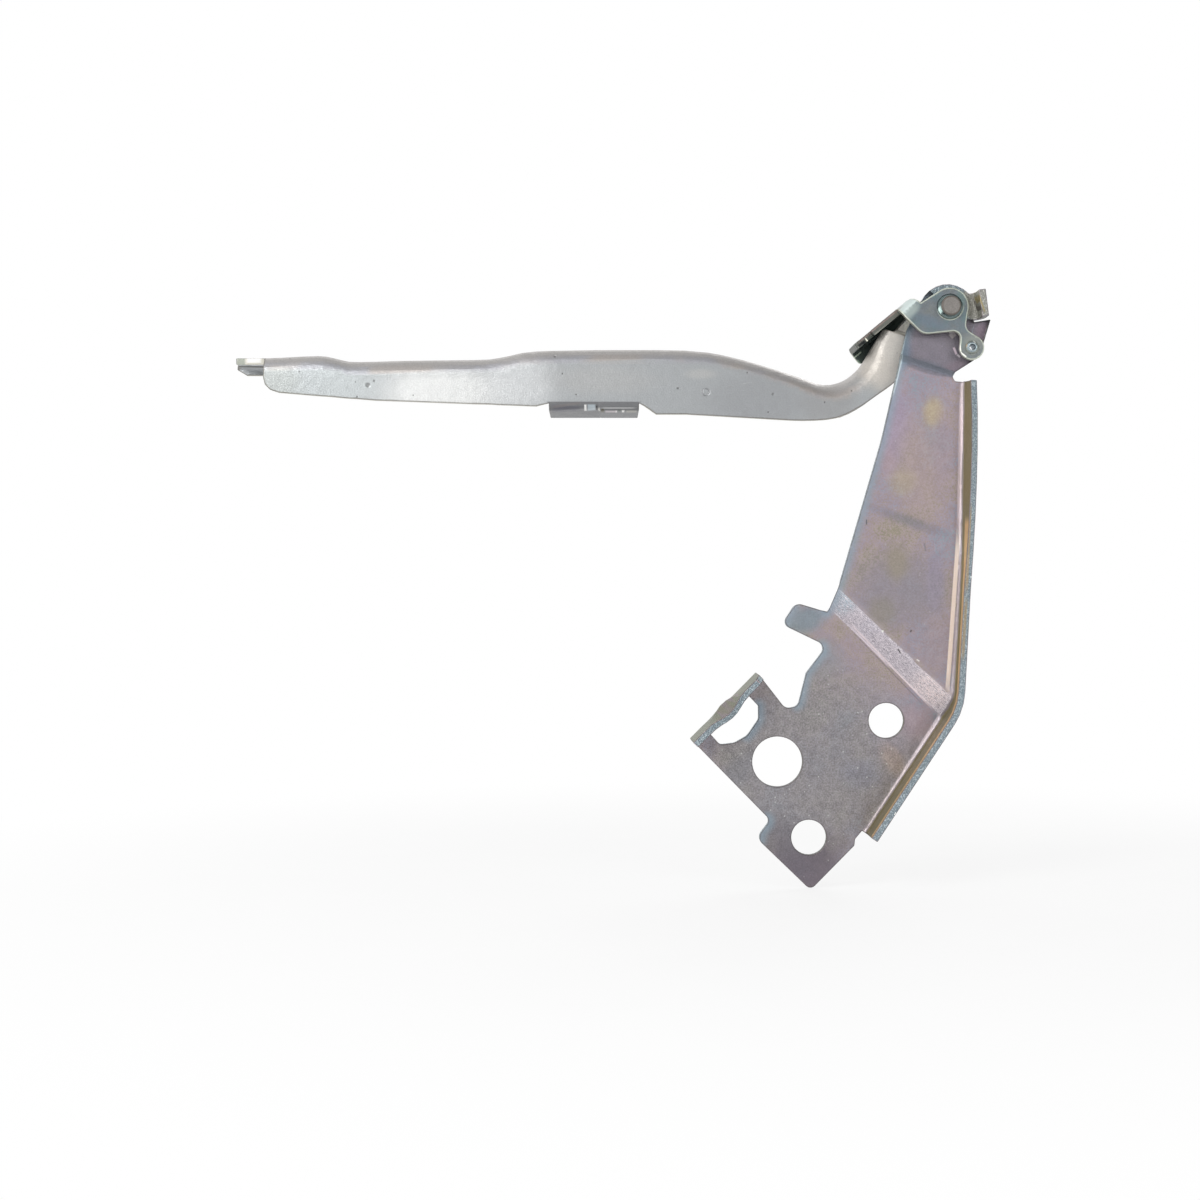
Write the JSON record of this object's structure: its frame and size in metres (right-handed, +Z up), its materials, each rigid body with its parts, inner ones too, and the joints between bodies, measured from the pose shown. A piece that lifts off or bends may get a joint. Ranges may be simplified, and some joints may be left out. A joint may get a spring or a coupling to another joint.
{
  "type": "bonnet hinge",
  "caption": "Pressed-steel hinge: a joggled bolt-on bracket with an upstanding flange, a gooseneck channel arm and a U-shaped stop bracket, all on one riveted pivot.",
  "frame": {"origin": "centre between the two body bolt holes, on the back face of the body bracket's lower plate, the face that bolts to the car body", "axes": "+X from the arm's tip towards the body bracket, +Y out of the body face and away from the viewer, +Z up as the hinge stands in the car with the bonnet open"},
  "size_m": [0.2664, 0.0371, 0.2104],
  "materials": {
    "iridescent_zinc": "passivated zinc plating with a pink, green and blue sheen, grainy and scratched",
    "satin_zinc": "satin light grey zinc with small pits",
    "green_zinc": "passivated zinc with a blue-green sheen and bright cut edges",
    "pivot_steel": "matt turned steel",
    "bush_steel": "plain oiled steel",
    "rivet_zinc": "bright zinc with a blue sheen"
  },
  "bodies": {
    "bracket": {"body_bracket": "iridescent_zinc", "stop_bracket": "green_zinc", "pivot_rivet": "pivot_steel", "near_washer": "bush_steel", "far_washer": "bush_steel", "stop_bracket_rivet": "rivet_zinc"},
    "arm": {"bonnet_arm": "satin_zinc", "pivot_bush": "bush_steel"}
  },
  "joints": [
    {"name": "arm_hinge", "type": "hinge", "parent": "bracket", "child": "arm", "pos_m": [0.0342, 0, 0.1638], "axis": [0, 1, 0], "range_deg": [-45, 0]}
  ]
}
